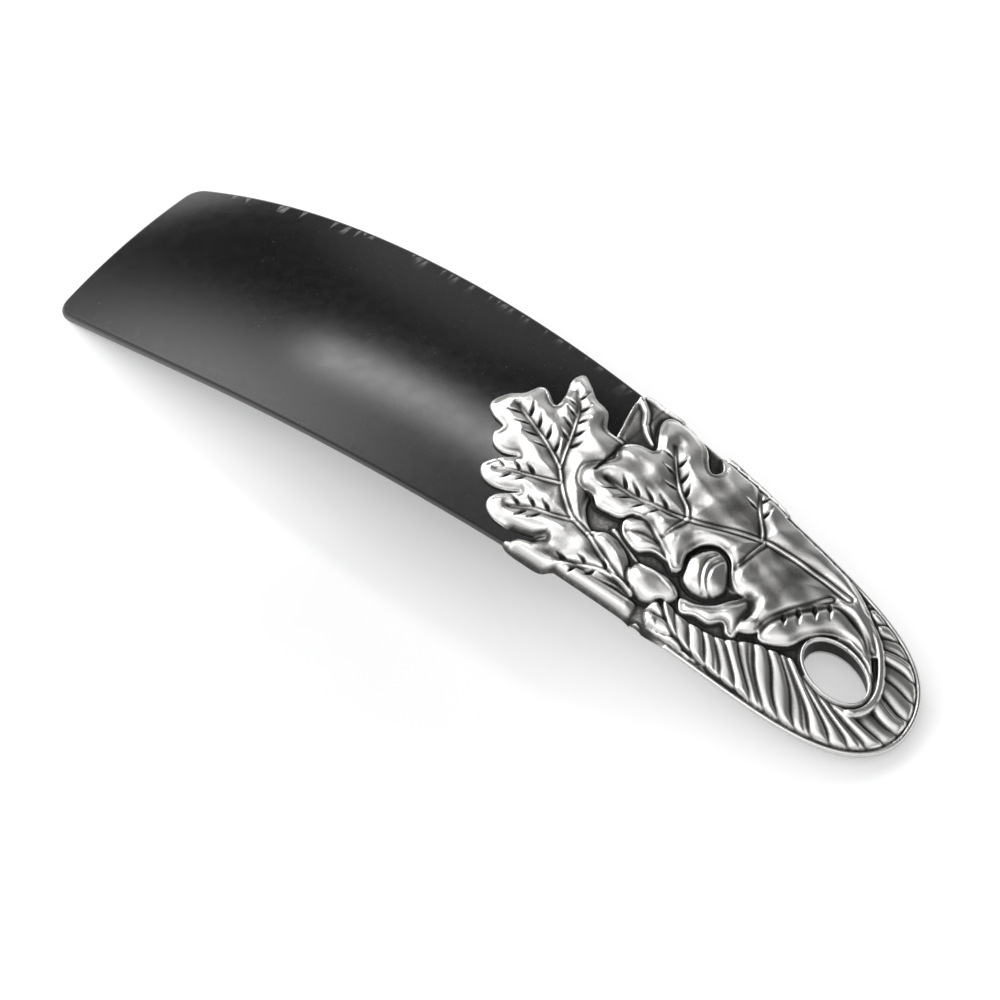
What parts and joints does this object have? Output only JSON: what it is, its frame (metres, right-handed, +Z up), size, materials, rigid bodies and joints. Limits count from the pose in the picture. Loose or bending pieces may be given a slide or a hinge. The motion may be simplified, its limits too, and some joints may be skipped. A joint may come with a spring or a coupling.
{
  "type": "shoehorn",
  "caption": "Hand shoehorn with an arched, black-coated blade and a cast pewter handle in oak-leaf relief with an oval hanging hole.",
  "frame": {"origin": "middle of the box's underside: halfway along and across the shoehorn, on the surface that it stands on", "axes": "+X along the length from the blade's tip towards the handle's end, +Y across, +Z up, out of the arched upper side"},
  "size_m": [0.19, 0.047, 0.0256],
  "materials": {
    "black_coating": "satin black coating on sheet metal",
    "pewter_relief": "polished cast pewter, darkened in the recesses",
    "pewter_plain": "satin cast pewter",
    "adhesive": "cured epoxy film",
    "pin_brass": "plain drawn brass"
  },
  "bodies": {
    "root": {"blade": "black_coating", "handle_front": "pewter_relief", "handle_back": "pewter_plain", "bond_front": "adhesive", "bond_back": "adhesive", "tang_pins": "pin_brass"}
  },
  "joints": []
}
